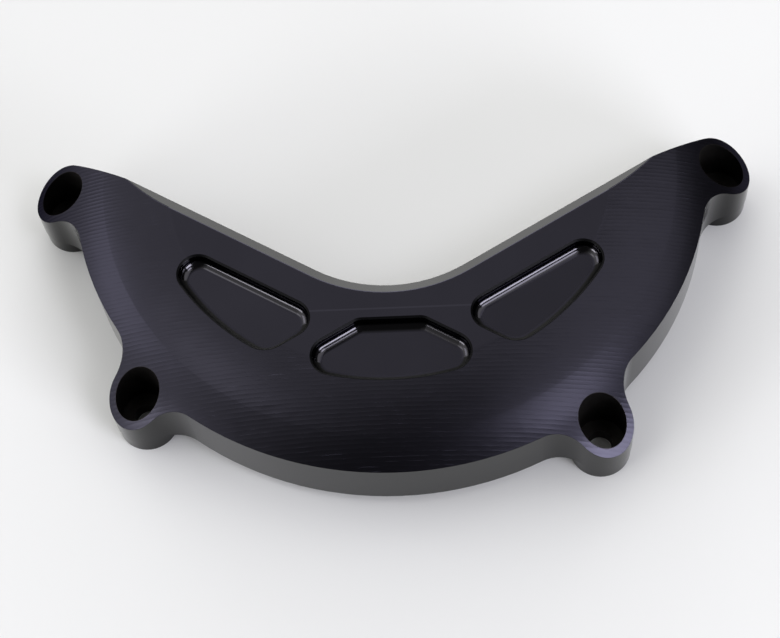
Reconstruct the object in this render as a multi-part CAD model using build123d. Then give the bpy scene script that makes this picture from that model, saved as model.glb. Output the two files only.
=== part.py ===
from build123d import *
from math import acos, atan2, cos, degrees, radians, sin, sqrt
import os

# Engine case slider, one piece of billet aluminium: a half-moon body that covers the lower
# half of a round engine cover. Millimetres; the bolts' feet stand on z = 0 and +Z is outward.
# While it is drawn, the engine cover's centre is x = 0, y = 0.

# M6 cap screws round the engine cover; angles from the X axis, the tips' up, the others down
bolt_radius = 92.9
tip_bolt_angle = 0.4
left_bolt_angle = 41.8
right_bolt_angle = 53.5
boss_radius = 8.5
screw_hole_d = 6.5
head_hole_d = 13.0
head_seat_z = 5.0  # what is left under a screw's head
foot_height = 5.5  # the bosses' feet stand this far below the body
foot_inset = 0.2  # and their sides this far inside the bosses'

# outer wall, an arc from boss to boss, by how far it lies inside the bolt circle
side_wall_in_at_tip = 4.7
side_wall_in_midway = 5.5
side_wall_in_at_bolt = 6.5
low_wall_in_at_bolt = 3.4
low_wall_in_midway = 4.4
boss_blend_radius = 10.0

# inner side, a V of two straight runs rounded where they meet
run_slope = 30.3
run_past_boss = 0.6  # the runs' lines pass the tips' bosses by this much
vee_radius = 40.0
tip_length = 19.9  # from a run's end to the tip's bolt; a straight that touches the boss spans it
bevel_width = 2.8
bevel_depth = 1.4

# top, flat in the middle with an edge rolled over about the cover's centre
top_z = 30.5
roll_width = 31.9  # from the flat out to the bolt circle
roll_radius = 56.0

# pockets in the flat, all ended by one arc
pocket_depth = 4.0
pocket_past_flat = 3.7  # how far that arc lies outside the flat at its lowest
pocket_arc_lift = 3.4  # and its centre above the cover's
pocket_floor_fillet = 2.5
pocket_edge_break = 0.5  # chamfer round the pockets' rims
pocket_corner = 5.3
side_pocket_low_corner = 7.0
middle_pocket_top_corner = 4.0
pocket_from_run = 11.0  # from the V's wall to a side pocket
pocket_end_inset = 5.9  # from the far run's line to a side pocket's inner end
pocket_rib = 4.9  # between a side pocket and the middle one
middle_pocket_from_vee = 10.4

# relief under the body for the engine cover, open below
relief_wall = 5.5
relief_roof = 9.0  # thickness over it
relief_corner = 5.0

slope = radians(run_slope)
run_distance = bolt_radius * sin(slope - radians(tip_bolt_angle)) - boss_radius - run_past_boss
vee_bottom = (vee_radius - run_distance) / cos(slope) - vee_radius
flat_radius = bolt_radius - roll_width
pocket_arc_radius = flat_radius + pocket_past_flat + pocket_arc_lift
pocket_end_distance = run_distance - pocket_end_inset
rim = bolt_radius + boss_radius + 1
bolt_angles = [180 - tip_bolt_angle, 180 + left_bolt_angle, 360 - right_bolt_angle, 360 + tip_bolt_angle]


def polar(distance, angle):
    return Vector(distance, 0).rotate(Axis.Z, angle)


bolts = [polar(bolt_radius, angle) for angle in bolt_angles]


def run_point(x, inset=0.0):
    """Point of the V's straight run at x, with the run moved into the body by inset."""
    return Vector(x, (sin(slope) * abs(x) - run_distance - inset) / cos(slope))


def wall_arc(start, midway, end, from_angle, to_angle):
    """Arc through three points, each given by how far it lies inside the bolt circle."""
    return ThreePointArc(
        polar(bolt_radius - start, from_angle),
        polar(bolt_radius - midway, (from_angle + to_angle) / 2),
        polar(bolt_radius - end, to_angle),
    )


def tip_touch(run_end, boss, turn):
    """Where the straight from a run's end touches the tip's boss, on the side given by turn."""
    away = run_end - boss
    angle = degrees(atan2(away.Y, away.X) + turn * acos(boss_radius / away.length))
    return boss + polar(boss_radius, angle)


def outline():
    """Plan of the whole slider: body, bosses and the blends between them."""
    left_tip, left_low, right_low, right_tip = bolt_angles
    left = wall_arc(side_wall_in_at_tip, side_wall_in_midway, side_wall_in_at_bolt, left_tip, left_low)
    low = wall_arc(low_wall_in_at_bolt, low_wall_in_midway, low_wall_in_at_bolt, left_low, right_low)
    right = wall_arc(side_wall_in_at_bolt, side_wall_in_midway, side_wall_in_at_tip, right_low, right_tip)
    left_end = run_point(bolts[0].X + tip_length)
    right_end = run_point(bolts[3].X - tip_length)
    inner = Polyline(
        right @ 1, bolts[3], tip_touch(right_end, bolts[3], -1), right_end, run_point(0),
        left_end, tip_touch(left_end, bolts[0], 1), bolts[0], left @ 0,
    )
    body = make_face([left, Line(left @ 1, low @ 0), low, Line(low @ 1, right @ 0), right, inner])
    body = fillet(body.vertices().sort_by_distance(run_point(0))[0], vee_radius)
    plan = body + [Pos(*bolt) * Circle(boss_radius) for bolt in bolts]

    def beside_boss(vertex):
        reach = min((Vector(*vertex) - bolt).length for bolt in bolts)
        return abs(reach - boss_radius) < 0.01 and vertex.Y < 0

    return fillet(plan.vertices().filter_by(beside_boss), boss_blend_radius)


def dome():
    """All that lies under the top surface, turned about the cover's centre."""
    def top_at(r):
        return (0, r, top_z - roll_radius + sqrt(roll_radius**2 - (r - flat_radius) ** 2))

    roll = ThreePointArc(top_at(rim), top_at((rim + flat_radius) / 2), top_at(flat_radius))
    rest = Polyline(top_at(flat_radius), (0, 0, top_z), (0, 0, 0), (0, rim, 0), top_at(rim))
    return revolve(make_face([roll, rest]), Axis.Z)


def vee(inset):
    """Plan of the V's open side, with its walls moved into the body by inset."""
    left, right = run_point(-rim, inset), run_point(rim, inset)
    plan = make_face(Polyline(run_point(0, inset), right, (rim, rim), (-rim, rim), left, run_point(0, inset)))
    return fillet(plan.vertices().sort_by(Axis.Y)[0], vee_radius + inset)


def bevel():
    """Cutter for the flat bevel along the V: it opens as it rises, and goes on past the top."""
    spread = degrees(atan2(bevel_width, bevel_depth))
    return extrude(Pos(0, 0, top_z - bevel_depth) * vee(0), 2 * bevel_depth, taper=-spread)


def corner_radius(wanted, side):
    """Radius of a pocket's corner, which has to fit beside the next one along a side."""
    return min(wanted, 0.36 * side)


def pocket(plan, corner):
    tool = extrude(Pos(0, 0, top_z - pocket_depth) * plan, pocket_depth + 1)
    return fillet(tool.faces().sort_by(Axis.Z)[0].edges(), min(pocket_floor_fillet, 0.9 * corner))


def pocket_arc():
    return Pos(0, pocket_arc_lift) * Circle(pocket_arc_radius)


def side_pocket():
    """Left pocket: its long side follows the near run and its inner end the far run's line."""
    near, far = run_distance + pocket_from_run, pocket_end_distance
    corner = Vector(-(near - far) / (2 * sin(slope)), -(near + far) / (2 * cos(slope)))
    reach = 2 * pocket_arc_radius
    upper = corner + polar(reach, 180 - run_slope)
    lower = corner + polar(reach, 180 + run_slope)
    plan = make_face(Polyline(corner, upper, lower, corner)) & pocket_arc()
    inner_end = plan.edges().sort_by(SortBy.LENGTH)[0].length
    low = corner_radius(side_pocket_low_corner, inner_end)
    plan = fillet(plan.vertices().sort_by(Axis.Y)[:1], low)
    corner = corner_radius(pocket_corner, inner_end)
    return pocket(fillet(plan.vertices().sort_by(Axis.Y)[-2:], corner), corner)


def middle_pocket():
    """Its slanted sides leave a rib of even width to each side pocket."""
    top_y = vee_bottom - middle_pocket_from_vee
    half = -(pocket_end_distance + pocket_rib + cos(slope) * top_y) / sin(slope)
    left, right = Vector(-half, top_y), Vector(half, top_y)
    low_left = left + polar(pocket_arc_radius, 180 + run_slope)
    low_right = right + polar(pocket_arc_radius, -run_slope)
    plan = make_face(Polyline(left, right, low_right, low_left, left)) & pocket_arc()
    width = top_y + pocket_arc_radius - pocket_arc_lift
    plan = fillet(plan.vertices().sort_by(Axis.Y)[:2], corner_radius(pocket_corner, width))
    corner = corner_radius(middle_pocket_top_corner, width)
    return pocket(fillet(plan.vertices().sort_by(Axis.Y)[-2:], corner), corner)


def break_rims(body):
    """Chamfers the pockets' rims, where their upright walls meet the top."""
    walls = body.faces().filter_by(lambda face: face.bounding_box().min.Z > top_z - pocket_depth)
    walls = walls.filter_by(lambda face: abs(face.normal_at().Z) < 0.01)
    rims = [wall.edges().sort_by(Axis.Z)[-1] for wall in walls]
    wall_height = pocket_depth - pocket_floor_fillet
    return chamfer(rims, min(pocket_edge_break, 0.5 * wall_height))


def relief():
    """Hollow for the engine cover, its roof as much below the top everywhere."""
    deepest = max(side_wall_in_at_bolt, low_wall_in_midway)
    plan = Circle(bolt_radius - deepest - relief_wall) - vee(relief_wall)
    plan = fillet(plan.vertices().sort_by(Axis.Y)[-2:], relief_corner)
    return extrude(plan, top_z) & Pos(0, 0, -relief_roof) * dome()


def screw_hole(bolt):
    upward = (Align.CENTER, Align.CENTER, Align.MIN)
    shank = Pos(*bolt) * Cylinder(screw_hole_d / 2, top_z, align=upward)
    head = Pos(bolt.X, bolt.Y, head_seat_z) * Cylinder(head_hole_d / 2, top_z, align=upward)
    return shank + head


slider = extrude(Pos(0, 0, foot_height) * outline(), top_z) & dome()
slider -= bevel()
slider -= [side_pocket(), mirror(side_pocket(), Plane.YZ), middle_pocket()]
slider = break_rims(slider)
slider -= relief()
slider += [extrude(Pos(*bolt) * Circle(boss_radius - foot_inset), foot_height) for bolt in bolts]
slider -= [screw_hole(bolt) for bolt in bolts]

# the origin is the middle of the part's box, in the plane of its feet
middle = slider.bounding_box().center()
slider = Pos(-middle.X, -middle.Y, 0) * slider

os.makedirs("parts", exist_ok=True)
export_step(slider, "parts/case_slider.step")
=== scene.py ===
from math import cos, radians, sin
import bpy
from mathutils import Matrix, Vector

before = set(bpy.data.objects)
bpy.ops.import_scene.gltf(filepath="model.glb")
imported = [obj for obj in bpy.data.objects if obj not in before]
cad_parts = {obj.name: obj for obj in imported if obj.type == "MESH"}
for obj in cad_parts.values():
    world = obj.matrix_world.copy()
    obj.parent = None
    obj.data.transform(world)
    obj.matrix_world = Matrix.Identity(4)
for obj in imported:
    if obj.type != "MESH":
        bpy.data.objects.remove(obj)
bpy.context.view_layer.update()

mm = 0.001

# centre of the round engine cover that the slider goes round, in the part's frame
coverCentre = Vector((0, 39.686 * mm, 0))


def linear(code):
    # sRGB hex colour as linear RGBA
    values = [int(code[i:i + 2], 16) / 255 for i in (1, 3, 5)]
    return [v / 12.92 if v <= 0.04045 else ((v + 0.055) / 1.055) ** 2.4 for v in values] + [1]


def addNode(tree, kind, settings=None, links=None, output=0):
    # settings are the node's own or its inputs', links join its inputs to outputs; one of its outputs comes back
    node = tree.nodes.new("ShaderNode" + kind)
    for name, value in (settings or {}).items():
        if isinstance(name, str) and hasattr(node, name):
            setattr(node, name, value)
        else:
            node.inputs[name].default_value = value
    for name, source in (links or {}).items():
        tree.links.new(source, node.inputs[name])
    return node.outputs[output]


def addObject(name, data):
    holder = bpy.data.objects.new(name, data)
    bpy.context.collection.objects.link(holder)
    return holder


# camera where the photograph was taken from
camera = {
    "eye": (24.15, -244.26, 530.8),  # mm
    "aim": (-1.57, 6.6, 0.0),
    "roll": -7.54,  # degrees
    "lens": 95.74,  # mm
    "sensor": 36,
    "clip": (0.01, 20),  # metres
}


def makeCamera(s):
    data = bpy.data.cameras.new("camera")
    data.sensor_fit = "HORIZONTAL"
    data.sensor_width = s["sensor"]
    data.lens = s["lens"]
    data.clip_start, data.clip_end = s["clip"]
    eye, aim = Vector(s["eye"]) * mm, Vector(s["aim"]) * mm
    ahead = (aim - eye).normalized()
    level = ahead.cross(Vector((0, 0, 1))).normalized()
    above = level.cross(ahead)
    roll = radians(s["roll"])
    right = cos(roll) * level + sin(roll) * above
    up = cos(roll) * above - sin(roll) * level
    holder = addObject("camera", data)
    holder.matrix_world = Matrix((right, up, -ahead)).transposed().to_4x4()
    holder.location = eye
    bpy.context.scene.camera = holder


makeCamera(camera)
print("camera done")

# pale table, soft boxes, and a room brighter at the back and left; azimuths from +X
studio = {
    "tableColour": "#e6e6e6",
    "tableRoughness": 0.9,
    "tableSize": 3.0,  # metres
    "boxDistance": 2.0,
    "boxTint": (1.0, 1.0, 1.0),
    "coolTint": (0.98, 0.98, 1.07),
    "coolBoxes": ("left", "right", "rightLow"),  # a little bluer than the rest
    "boxes": {
        # azimuth, angle from upright, width, height in metres, watts
        "left": (168, 57, 1.0, 0.75, 4.9),
        "leftSmall": (182, 27, 0.5, 0.5, 1.4),
        "overhead": (16, 33, 1.45, 1.5, 8.6),
        "back": (95, 79, 3.3, 0.65, 32.0),
        "right": (326, 38, 0.55, 0.6, 6.2),
        "rightLow": (317, 75, 1.0, 0.9, 30.0),
        "leftLow": (213, 77, 0.8, 0.6, 11.0),
    },
    "roomColour": (1.0, 1.0, 0.96),
    "roomAzimuth": 140,  # its brightest side
    "roomSpan": (-0.15, 0.5),  # it goes from dark to bright between these cosines to that side
    "roomStrength": (0.06, 1.15),
}


def makeTable(s):
    half = s["tableSize"] / 2
    corners = [(-half, -half, 0), (half, -half, 0), (half, half, 0), (-half, half, 0)]
    mesh = bpy.data.meshes.new("table")
    mesh.from_pydata(corners, [], [(0, 1, 2, 3)])
    table = addObject("table", mesh)
    # matt white: it takes the shadow and gives no reflection of its own
    material = bpy.data.materials.new("matte_white_table")
    material.use_nodes = True
    shader = material.node_tree.nodes["Principled BSDF"]
    shader.inputs["Base Color"].default_value = linear(s["tableColour"])
    shader.inputs["Roughness"].default_value = s["tableRoughness"]
    shader.inputs["Specular IOR Level"].default_value = 0.0
    mesh.materials.append(material)


def makeBoxes(s):
    for name, (azimuth, upright, width, height, watts) in s["boxes"].items():
        light = bpy.data.lights.new(name, "AREA")
        light.shape = "RECTANGLE"
        light.size, light.size_y = width, height
        light.energy = watts
        light.color = s["coolTint"] if name in s["coolBoxes"] else s["boxTint"]
        box = addObject(name, light)
        a, b = radians(azimuth), radians(upright)
        away = Vector((cos(a) * sin(b), sin(a) * sin(b), cos(b)))
        box.location = away * s["boxDistance"]
        box.rotation_euler = away.to_track_quat("Z", "Y").to_euler()


def makeRoom(s):
    world = bpy.data.worlds.new("studio")
    bpy.context.scene.world = world
    world.use_nodes = True
    tree = world.node_tree
    a = radians(s["roomAzimuth"])
    facing = addNode(tree, "TexCoord", output="Generated")
    brightest = {"operation": "DOT_PRODUCT", 1: (cos(a), sin(a), 0)}
    facing = addNode(tree, "VectorMath", brightest, {0: facing}, "Value")
    (start, end), (dark, bright) = s["roomSpan"], s["roomStrength"]
    span = {"interpolation_type": "SMOOTHSTEP", "From Min": start, "From Max": end, "To Min": dark, "To Max": bright}
    strength = addNode(tree, "MapRange", span, {0: facing})
    background = tree.nodes["Background"]
    background.inputs["Color"].default_value = (*s["roomColour"], 1)
    tree.links.new(strength, background.inputs["Strength"])


makeTable(studio)
makeBoxes(studio)
makeRoom(studio)
bpy.context.scene.view_settings.view_transform = "Standard"
print("studio done")

# the slider, one piece of milled aluminium, anodised black; mm, from the cover's centre and the feet's plane
anodised = {
    # the part's own sizes
    "topHeight": 30.5,
    "flatRadius": 61.0,
    "rollRadius": 56.0,
    "boltRadius": 92.9,
    "boltAngles": (179.6, 221.8, 306.5, 0.4),  # degrees
    "veeSlope": 30.3,
    # where each finish ends
    "topMargin": (0.08, 0.16),  # under the top surface
    "flatFacing": (0.95, 0.99),  # upward part of a floor's normal
    "pocketsPastVee": 40.15,  # measured square to the V's runs; their bevel ends just before it
    "pocketsWithin": 70.0,
    "pocketsAbove": 26.4,
    "nearSideFacing": 0.03,  # +Y part of the normal of a pocket's near side
    "rimFacing": (0.707, 0.13),  # upward part of the broken rims' normal, and how much it may differ
    "rimDepth": 1.0,  # under the flat top
    "boreRadius": 6.55,  # a little over the head recess's
    # colours and shine
    "topColour": "#2f2e36",  # the dye leaves the milled top and floors a little violet
    "wallColour": "#242424",  # walls and bevel, cut smoother, are neutral; the pockets' near sides keep it, without the painted sheen of their other sides
    "pocketSheenColour": "#3e3d41",  # painted sheen: the pockets' other sides are coloured brighter than their near sides, which brightens their highlights
    "rimShadeColour": "#161617",  # painted shade: the pockets' broken rims are coloured dark, so that they show as dark lines and catch no highlight
    "boreColour": "#2c2a29",
    "topRoughness": 0.3,
    "wallRoughness": 0.15,
    "dullRoughness": 0.5,  # rims, bores and the pockets' near sides
    "topEdgeTint": 0.35,  # the milled top shines less than a polished metal when seen at a flat angle
    "cloudSize": 18.0,
    "cloudSpan": (0.3, 0.7),
    "cloudShade": (0.96, 1.04),
    "toolLine": (-44.2, 0.25, 22.0),  # y, half width and half length of a fine line left by the facing cutter, lightened in colour as a painted highlight
    "toolLineGlint": 0.35,
    # passes of a 12 mm ball cutter on the rolled edge
    "linesFade": 1.0,  # from the flat
    "linePitch": 1.13,
    "lineHeight": 0.012,
    "leftLineHeight": 0.054,  # the left tip's are deeper
    "leftLineSpan": (-96, -70),
    "lineWander": 0.08,  # in passes
    "wanderSize": 14.0,
    "facetLength": 9.0,
    "facetHeight": 0.03,
    "facetShift": 7.3,  # from one pass to the next, so that their facets differ
    # where the edge is cut steeper than the part's arc
    "innerSlope": 0.06,  # at the flat, fading out over the next length
    "innerFade": 16.0,
    "creaseRadius": 79.8,  # outside it, most of all on the left
    "creaseSlope": 0.03,
    "leftCreaseSlope": 0.08,
    "leftCreaseSpan": (-60, -42),
}


def locate(tree, s):
    # where a point lies in mm, how far from the centre and outside the flat, and whether on the top surface
    place = addNode(tree, "TexCoord", output="Object")
    place = addNode(tree, "VectorMath", {"operation": "SUBTRACT", 1: coverCentre}, {0: place})
    place = addNode(tree, "VectorMath", {"operation": "SCALE", "Scale": 1 / mm}, {0: place})
    x, y, z = addNode(tree, "SeparateXYZ", None, {0: place}).node.outputs
    level = addNode(tree, "VectorMath", {"operation": "MULTIPLY", 1: (1, 1, 0)}, {0: place})
    radius = addNode(tree, "VectorMath", {"operation": "LENGTH"}, {0: level}, "Value")
    past = addNode(tree, "Math", {"operation": "SUBTRACT", 1: s["flatRadius"]}, {0: radius})
    past = addNode(tree, "Math", {"operation": "MAXIMUM", 1: 0}, {0: past})
    squared = addNode(tree, "Math", {"operation": "MULTIPLY"}, {0: past, 1: past})
    rise = addNode(tree, "Math", {"operation": "SUBTRACT", 0: s["rollRadius"] ** 2}, {1: squared})
    rise = addNode(tree, "Math", {"operation": "SQRT"}, {0: rise})
    under = addNode(tree, "Math", {"operation": "SUBTRACT"}, {0: rise, 1: z})
    start, end = [s["rollRadius"] - s["topHeight"] + margin for margin in s["topMargin"]]
    onTop = addNode(tree, "MapRange", {"From Min": start, "From Max": end, "To Min": 1, "To Max": 0}, {0: under})
    return {"place": place, "x": x, "y": y, "z": z, "level": level, "radius": radius, "past": past, "onTop": onTop}


def cutterPasses(tree, s, at):
    # passes along X: a shallow hollow each, wandering a little, with facets of slightly other tilt
    wander = addNode(tree, "TexNoise", {"Scale": 1 / s["wanderSize"], "Detail": 1}, {0: at["place"]})
    centred = {"operation": "MULTIPLY_ADD", 1: 2 * s["lineWander"], 2: -s["lineWander"]}
    wander = addNode(tree, "Math", centred, {0: wander})
    passes = addNode(tree, "Math", {"operation": "MULTIPLY_ADD", 1: 1 / s["linePitch"]}, {0: at["y"], 2: wander})
    across = addNode(tree, "Math", {"operation": "FRACT"}, {0: passes})
    across = addNode(tree, "Math", {"operation": "SUBTRACT", 1: 0.5}, {0: across})
    number = addNode(tree, "Math", {"operation": "FLOOR"}, {0: passes})
    number = addNode(tree, "Math", {"operation": "MULTIPLY", 1: s["facetShift"]}, {0: number})
    along = addNode(tree, "Math", {"operation": "MULTIPLY", 1: 1 / s["facetLength"]}, {0: at["x"]})
    facet = addNode(tree, "CombineXYZ", None, {0: along, 1: number})
    facet = addNode(tree, "TexNoise", {"Scale": 1.0, "Detail": 2}, {0: facet})
    facet = addNode(tree, "Math", {"operation": "SUBTRACT", 1: 0.5}, {0: facet})

    # across and facet reach a half either way, so both products below reach a quarter
    hollow = addNode(tree, "Math", {"operation": "MULTIPLY"}, {0: across, 1: across})
    start, end = s["leftLineSpan"]
    depth = {"From Min": start, "From Max": end, "To Min": 4 * s["leftLineHeight"], "To Max": 4 * s["lineHeight"]}
    depth = addNode(tree, "MapRange", depth, {0: at["x"]})
    hollow = addNode(tree, "Math", {"operation": "MULTIPLY"}, {0: hollow, 1: depth})
    tilt = addNode(tree, "Math", {"operation": "MULTIPLY"}, {0: across, 1: facet})
    return addNode(tree, "Math", {"operation": "MULTIPLY_ADD", 1: 4 * s["facetHeight"]}, {0: tilt, 2: hollow})


def edgeHeight(tree, s, at):
    # height in mm on the rolled edge: the cutter's passes, the steeper outer band and the steeper start
    height = cutterPasses(tree, s, at)
    beyond = addNode(tree, "Math", {"operation": "SUBTRACT", 1: s["creaseRadius"]}, {0: at["radius"]})
    beyond = addNode(tree, "Math", {"operation": "MAXIMUM", 1: 0}, {0: beyond})
    start, end = s["leftCreaseSpan"]
    slope = {"From Min": start, "From Max": end, "To Min": -s["leftCreaseSlope"], "To Max": -s["creaseSlope"]}
    slope = addNode(tree, "MapRange", slope, {0: at["x"]})
    height = addNode(tree, "Math", {"operation": "MULTIPLY_ADD"}, {0: beyond, 1: slope, 2: height})
    near = addNode(tree, "Math", {"operation": "MINIMUM", 1: s["innerFade"]}, {0: at["past"]})
    fall = addNode(tree, "Math", {"operation": "MULTIPLY_ADD", 1: 0.5 / s["innerFade"], 2: -1}, {0: near})
    fall = addNode(tree, "Math", {"operation": "MULTIPLY"}, {0: fall, 1: near})
    height = addNode(tree, "Math", {"operation": "MULTIPLY_ADD", 1: s["innerSlope"]}, {0: fall, 2: height})
    outside = addNode(tree, "MapRange", {"From Min": 0.0, "From Max": s["linesFade"]}, {0: at["past"]})
    rolled = addNode(tree, "Math", {"operation": "MULTIPLY"}, {0: at["onTop"], 1: outside})
    return addNode(tree, "Math", {"operation": "MULTIPLY"}, {0: height, 1: rolled})


def findPlaces(tree, s, at):
    # masks of the milled top and floors, the pockets' sides (their other sides get a painted sheen), their near
    # sides, their rims (painted shade) and the screws' bores
    normal = addNode(tree, "NewGeometry", output="Normal")
    normal = addNode(tree, "SeparateXYZ", None, {0: normal}).node.outputs
    start, end = s["flatFacing"]
    floor = addNode(tree, "MapRange", {"From Min": start, "From Max": end}, {0: normal[2]})
    milled = addNode(tree, "Math", {"operation": "MAXIMUM"}, {0: at["onTop"], 1: floor})

    a = radians(s["veeSlope"])
    toVee = addNode(tree, "Math", {"operation": "ABSOLUTE"}, {0: at["x"]})
    toVee = addNode(tree, "Math", {"operation": "MULTIPLY", 1: -sin(a)}, {0: toVee})
    toVee = addNode(tree, "Math", {"operation": "MULTIPLY_ADD", 1: cos(a)}, {0: at["y"], 2: toVee})
    pocket = addNode(tree, "Math", {"operation": "LESS_THAN", 1: -s["pocketsPastVee"]}, {0: toVee})
    within = addNode(tree, "Math", {"operation": "LESS_THAN", 1: s["pocketsWithin"]}, {0: at["radius"]})
    above = addNode(tree, "Math", {"operation": "GREATER_THAN", 1: s["pocketsAbove"]}, {0: at["z"]})
    pocket = addNode(tree, "Math", {"operation": "MULTIPLY"}, {0: pocket, 1: within})
    pocket = addNode(tree, "Math", {"operation": "MULTIPLY"}, {0: pocket, 1: above})
    # the near sides are taken out, so that only the other sides get the painted sheen colour
    nearSide = addNode(tree, "Math", {"operation": "GREATER_THAN", 1: s["nearSideFacing"]}, {0: normal[1]})
    nearSide = addNode(tree, "Math", {"operation": "MULTIPLY"}, {0: nearSide, 1: pocket})
    pocket = addNode(tree, "Math", {"operation": "SUBTRACT"}, {0: pocket, 1: nearSide})

    # painted shade: these broken rims get a dark colour, so that they show as dark lines
    upward, margin = s["rimFacing"]
    slanted = addNode(tree, "Math", {"operation": "COMPARE", 1: upward, 2: margin}, {0: normal[2]})
    high = addNode(tree, "Math", {"operation": "GREATER_THAN", 1: s["topHeight"] - s["rimDepth"]}, {0: at["z"]})
    rim = addNode(tree, "Math", {"operation": "MULTIPLY"}, {0: slanted, 1: high})

    bore = None
    for angle in s["boltAngles"]:
        a = radians(angle)
        bolt = (s["boltRadius"] * cos(a), s["boltRadius"] * sin(a), 0)
        reach = addNode(tree, "VectorMath", {"operation": "DISTANCE", 1: bolt}, {0: at["level"]}, "Value")
        inside = addNode(tree, "Math", {"operation": "LESS_THAN", 1: s["boreRadius"]}, {0: reach})
        bore = addNode(tree, "Math", {"operation": "MAXIMUM"}, {0: bore, 1: inside}) if bore else inside
    return {"milled": milled, "pocket": pocket, "nearSide": nearSide, "rim": rim, "bore": bore}


def findColour(tree, s, at, masks):
    # each finish over the walls' colour, with painted sheen on the pockets' other sides and painted shade on their
    # rims, then faint clouds from the dye bath and the cutter's fine line on the flat, lightened as a painted
    # highlight
    sides = {"data_type": "RGBA", 6: linear(s["wallColour"]), 7: linear(s["pocketSheenColour"])}
    colour = addNode(tree, "Mix", sides, {0: masks["pocket"]}, 2)
    for mask, name in (("milled", "topColour"), ("rim", "rimShadeColour"), ("bore", "boreColour")):
        colour = addNode(tree, "Mix", {"data_type": "RGBA", 7: linear(s[name])}, {0: masks[mask], 6: colour}, 2)
    cloud = addNode(tree, "TexNoise", {"Scale": 1 / s["cloudSize"], "Detail": 3}, {0: at["place"]})
    (start, end), (dark, bright) = s["cloudSpan"], s["cloudShade"]
    shade = {"From Min": start, "From Max": end, "To Min": dark, "To Max": bright}
    shade = addNode(tree, "MapRange", shade, {0: cloud})
    # painted highlight: the facing cutter's fine line is made lighter in colour, as if it catches the light
    lineAt, halfWide, halfLong = s["toolLine"]
    line = addNode(tree, "Math", {"operation": "COMPARE", 1: lineAt, 2: halfWide}, {0: at["y"]})
    within = addNode(tree, "Math", {"operation": "COMPARE", 1: 0.0, 2: halfLong}, {0: at["x"]})
    line = addNode(tree, "Math", {"operation": "MULTIPLY"}, {0: line, 1: within})
    line = addNode(tree, "Math", {"operation": "MULTIPLY"}, {0: line, 1: at["onTop"]})
    shade = addNode(tree, "Math", {"operation": "MULTIPLY_ADD", 1: s["toolLineGlint"]}, {0: line, 2: shade})
    return addNode(tree, "VectorMath", {"operation": "SCALE"}, {0: colour, "Scale": shade})


def findRoughness(tree, s, at, masks):
    rough = {"To Min": s["wallRoughness"], "To Max": s["topRoughness"]}
    rough = addNode(tree, "MapRange", rough, {0: at["onTop"]})
    dull = addNode(tree, "Math", {"operation": "MAXIMUM"}, {0: masks["rim"], 1: masks["bore"]})
    dull = addNode(tree, "Math", {"operation": "MAXIMUM"}, {0: dull, 1: masks["nearSide"]})
    return addNode(tree, "MapRange", {"To Max": s["dullRoughness"]}, {0: dull, "To Min": rough})


def makeAnodised(s):
    # black anodised aluminium, milled: dark satin metal; on the rolled edge the cutter's passes show as fine lines
    material = bpy.data.materials.new("black_anodised_milled_aluminium")
    material.use_nodes = True
    tree = material.node_tree
    at = locate(tree, s)
    masks = findPlaces(tree, s, at)
    sources = {
        "Base Color": findColour(tree, s, at, masks),
        "Roughness": findRoughness(tree, s, at, masks),
        "Specular Tint": addNode(tree, "MapRange", {"To Min": 1, "To Max": s["topEdgeTint"]}, {0: masks["milled"]}),
        "Normal": addNode(tree, "Bump", {"Distance": mm}, {"Height": edgeHeight(tree, s, at)}),
    }
    shader = tree.nodes["Principled BSDF"]
    shader.inputs["Metallic"].default_value = 1
    for name, source in sources.items():
        tree.links.new(source, shader.inputs[name])
    return material


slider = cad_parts["case_slider"]
slider.data.materials.clear()
slider.data.materials.append(makeAnodised(anodised))
print("slider done")
